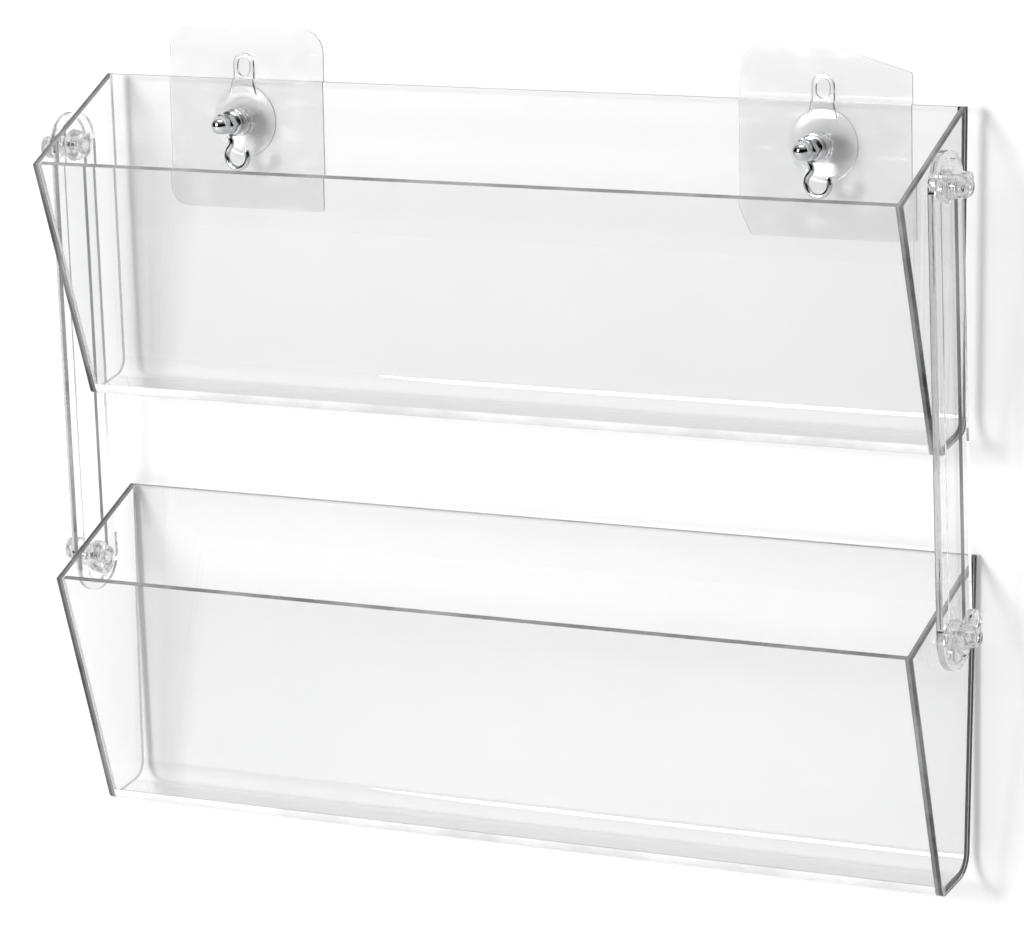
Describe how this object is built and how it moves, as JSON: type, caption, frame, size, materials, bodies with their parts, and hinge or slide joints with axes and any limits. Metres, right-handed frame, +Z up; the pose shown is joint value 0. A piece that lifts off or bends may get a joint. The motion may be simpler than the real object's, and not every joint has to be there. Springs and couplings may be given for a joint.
{
  "type": "magazine rack",
  "caption": "Clear two-tier wall magazine rack: two tapered troughs joined by pivoting side links, hung on the wall from suction cups with metal hooks.",
  "frame": {"origin": "on the wall, midway between the two hanger studs and level with them", "axes": "+X along the rack to the right as seen from the room, -Y out of the wall towards the room, +Z up"},
  "size_m": [0.4056, 0.0648, 0.3171],
  "materials": {
    "clear_sheet": "polished clear sheet with dark cut edges",
    "clear_plastic": "clear moulded plastic",
    "soft_clear": "soft translucent vinyl",
    "pad_film": "clear stick-on film with a light haze",
    "chrome": "bright plated"
  },
  "bodies": {
    "upper_bin": {"upper_trough_sheet": "clear_sheet", "upper_side_panel_left": "clear_sheet", "upper_side_panel_right": "clear_sheet", "upper_spacer_left": "soft_clear", "upper_spacer_right": "soft_clear", "upper_pivot_bolt_left": "clear_plastic", "upper_pivot_bolt_right": "clear_plastic", "left_wall_pad": "pad_film", "left_suction_cup": "soft_clear", "left_hanger_stud": "chrome", "left_washer": "chrome", "right_wall_pad": "pad_film", "right_suction_cup": "soft_clear", "right_hanger_stud": "chrome", "right_washer": "chrome"},
    "lower_bin": {"lower_trough_sheet": "clear_sheet", "lower_side_panel_left": "clear_sheet", "lower_side_panel_right": "clear_sheet", "lower_spacer_left": "soft_clear", "lower_spacer_right": "soft_clear", "lower_pivot_bolt_left": "clear_plastic", "lower_pivot_bolt_right": "clear_plastic"},
    "left_link": {"left_link": "clear_plastic"},
    "upper_knob_left": {"upper_wing_knob_left": "clear_plastic"},
    "lower_knob_left": {"lower_wing_knob_left": "clear_plastic"},
    "left_hook": {"left_wire_hook": "chrome"},
    "left_nut": {"left_cap_nut": "chrome"},
    "right_link": {"right_link": "clear_plastic"},
    "upper_knob_right": {"upper_wing_knob_right": "clear_plastic"},
    "lower_knob_right": {"lower_wing_knob_right": "clear_plastic"},
    "right_hook": {"right_wire_hook": "chrome"},
    "right_nut": {"right_cap_nut": "chrome"}
  },
  "joints": [
    {"name": "right_link_swing", "type": "hinge", "parent": "upper_bin", "child": "right_link", "pos_m": [0.1925, -0.033, -0.009], "axis": [-1, 0, 0], "range_deg": [-0.8, 90]},
    {"name": "left_link_swing", "type": "hinge", "parent": "upper_bin", "child": "left_link", "pos_m": [-0.1925, -0.033, -0.009], "axis": [-1, 0, 0], "range_deg": [-0.8, 90]},
    {"name": "lower_bin_tilt", "type": "hinge", "parent": "right_link", "child": "lower_bin", "pos_m": [0.1925, -0.02713, -0.1789], "axis": [-1, 0, 0], "range_deg": [-90, 45]},
    {"name": "upper_knob_turn_left", "type": "hinge", "parent": "upper_bin", "child": "upper_knob_left", "pos_m": [-0.198, -0.033, -0.009], "axis": [-1, 0, 0], "continuous": true},
    {"name": "upper_knob_turn_right", "type": "hinge", "parent": "upper_bin", "child": "upper_knob_right", "pos_m": [0.198, -0.033, -0.009], "axis": [1, 0, 0], "continuous": true},
    {"name": "lower_knob_turn_left", "type": "hinge", "parent": "lower_bin", "child": "lower_knob_left", "pos_m": [-0.198, -0.02713, -0.1789], "axis": [-1, 0, 0], "continuous": true},
    {"name": "lower_knob_turn_right", "type": "hinge", "parent": "lower_bin", "child": "lower_knob_right", "pos_m": [0.198, -0.02713, -0.1789], "axis": [1, 0, 0], "continuous": true},
    {"name": "left_hook_swivel", "type": "hinge", "parent": "upper_bin", "child": "left_hook", "pos_m": [-0.1285, -0.0135, 0], "axis": [0, -1, 0], "continuous": true},
    {"name": "left_nut_turn", "type": "hinge", "parent": "upper_bin", "child": "left_nut", "pos_m": [-0.1285, -0.0199, 0], "axis": [0, -1, 0], "continuous": true},
    {"name": "right_hook_swivel", "type": "hinge", "parent": "upper_bin", "child": "right_hook", "pos_m": [0.1285, -0.0135, 0], "axis": [0, -1, 0], "continuous": true},
    {"name": "right_nut_turn", "type": "hinge", "parent": "upper_bin", "child": "right_nut", "pos_m": [0.1285, -0.0199, 0], "axis": [0, -1, 0], "continuous": true}
  ],
  "couplings": [
    {"joint": "left_link_swing", "follows": "right_link_swing", "ratio": 1}
  ]
}
